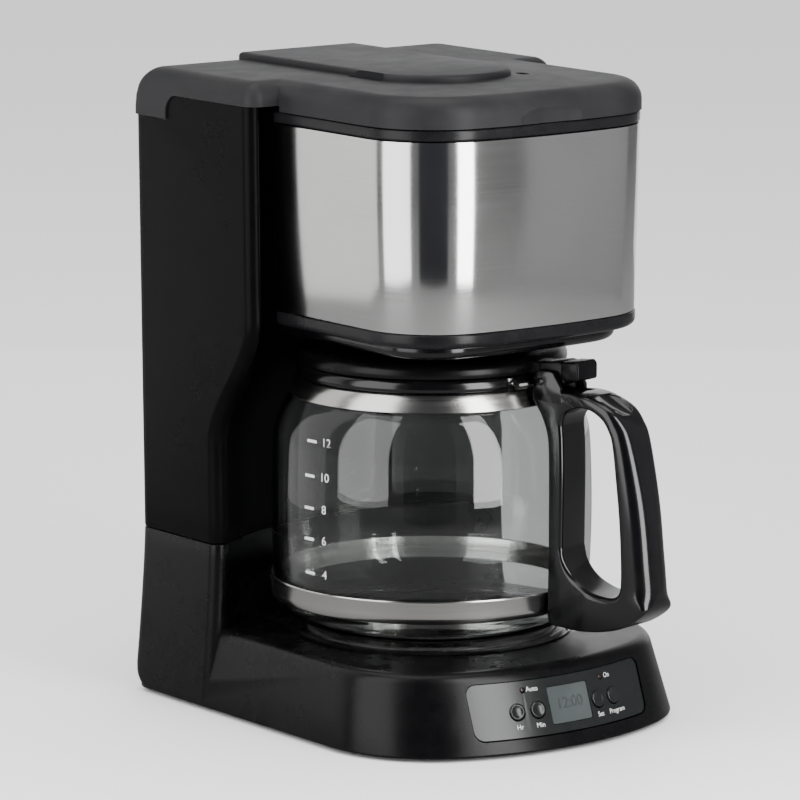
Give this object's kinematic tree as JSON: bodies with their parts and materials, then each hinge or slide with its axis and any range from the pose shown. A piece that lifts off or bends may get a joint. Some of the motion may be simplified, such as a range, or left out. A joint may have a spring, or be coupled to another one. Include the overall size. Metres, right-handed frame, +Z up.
{
  "type": "drip coffee maker",
  "caption": "Drip coffee maker with a steel-wrapped brew head, one-piece hinged lid, rear water tank, warming plate, timer panel and a glass carafe with handle.",
  "frame": {"origin": "on the table under the middle of the machine's footprint, carafe handle included", "axes": "+Z up; the control panel and the carafe handle face -Y; +X is to the right when looking along +Y at the front"},
  "size_m": [0.201, 0.274, 0.3295],
  "materials": {
    "housing_black": "fine satin black moulding",
    "lid_black": "matte grained black moulding",
    "gloss_black": "polished black moulding",
    "steel": "polished stainless sheet",
    "plate_enamel": "dark non-stick coating on a steel plate",
    "glass": "clear heat-resistant glass",
    "rubber": "soft black rubber",
    "aluminium": "as-extruded aluminium and plated screws",
    "silicone": "translucent silicone hose",
    "tank_plastic": "smoked heat-resistant plastic",
    "board_green": "solder-masked circuit board",
    "display": "grey-green liquid-crystal display behind a clear window",
    "lamp": "small clear lamp lens"
  },
  "bodies": {
    "housing": {"base_housing": "housing_black", "bottom_cover": "housing_black", "main_housing": "housing_black", "head_rim": "housing_black", "lower_trim": "housing_black", "brew_basket": "housing_black", "control_panel": "gloss_black", "head_floor": "gloss_black", "plate_ring": "gloss_black", "steel_wrap": "steel", "hinge_pin_left": "steel", "hinge_pin_right": "steel", "warming_plate": "plate_enamel", "foot_1": "rubber", "foot_2": "rubber", "foot_3": "rubber", "foot_4": "rubber", "cord_gland": "rubber", "heater_tube": "aluminium", "thermostat": "aluminium", "cover_screw_1": "aluminium", "cover_screw_2": "aluminium", "cover_screw_3": "aluminium", "cover_screw_4": "aluminium", "thermal_fuse": "silicone", "check_valve": "silicone", "inlet_hose": "silicone", "riser_tube": "silicone", "reservoir_tank": "tank_plastic", "circuit_board": "board_green", "display_window": "display", "lamp_auto": "lamp", "lamp_on": "lamp"},
    "lid": {"lid": "lid_black", "shower_head": "housing_black"},
    "carafe": {"carafe_glass": "glass", "base_band": "steel", "neck_band": "steel", "neck_collar": "steel", "carafe_handle": "gloss_black", "lid_pin": "steel", "band_screw": "steel", "clamp_screw": "steel"},
    "carafe_lid": {"carafe_lid": "gloss_black"},
    "drip_valve": {"drip_valve": "gloss_black", "valve_seal": "silicone", "valve_spring": "steel"},
    "hour_button": {"button_hour": "gloss_black"},
    "minute_button": {"button_minute": "gloss_black"},
    "set_button": {"button_set": "gloss_black"},
    "program_button": {"button_program": "gloss_black"}
  },
  "joints": [
    {"name": "lid_hinge", "type": "hinge", "parent": "housing", "child": "lid", "pos_m": [0, 0.134, 0.301], "axis": [-1, 0, 0], "range_deg": [0, 85]},
    {"name": "carafe_slide", "type": "slide", "parent": "housing", "child": "carafe", "axis": [0, -1, 0], "range_m": [0, 0.26]},
    {"name": "carafe_lid_hinge", "type": "hinge", "parent": "carafe", "child": "carafe_lid", "pos_m": [0.01782, -0.06997, 0.179], "axis": [0.9744, 0.225, 0], "range_deg": [0, 1.8]},
    {"name": "drip_valve_slide", "type": "slide", "parent": "housing", "child": "drip_valve", "axis": [0, 0, 1], "range_m": [0, 0.004], "stiffness_N_per_m": 100},
    {"name": "hour_button_press", "type": "slide", "parent": "housing", "child": "hour_button", "axis": [0.1991, 0.9238, -0.327], "range_m": [0, 0.0008], "stiffness_N_per_m": 400},
    {"name": "minute_button_press", "type": "slide", "parent": "housing", "child": "minute_button", "axis": [0.1239, 0.9361, -0.3291], "range_m": [0, 0.0008], "stiffness_N_per_m": 400},
    {"name": "set_button_press", "type": "slide", "parent": "housing", "child": "set_button", "axis": [-0.1271, 0.9357, -0.329], "range_m": [0, 0.0008], "stiffness_N_per_m": 400},
    {"name": "program_button_press", "type": "slide", "parent": "housing", "child": "program_button", "axis": [-0.1991, 0.9238, -0.327], "range_m": [0, 0.0008], "stiffness_N_per_m": 400}
  ]
}
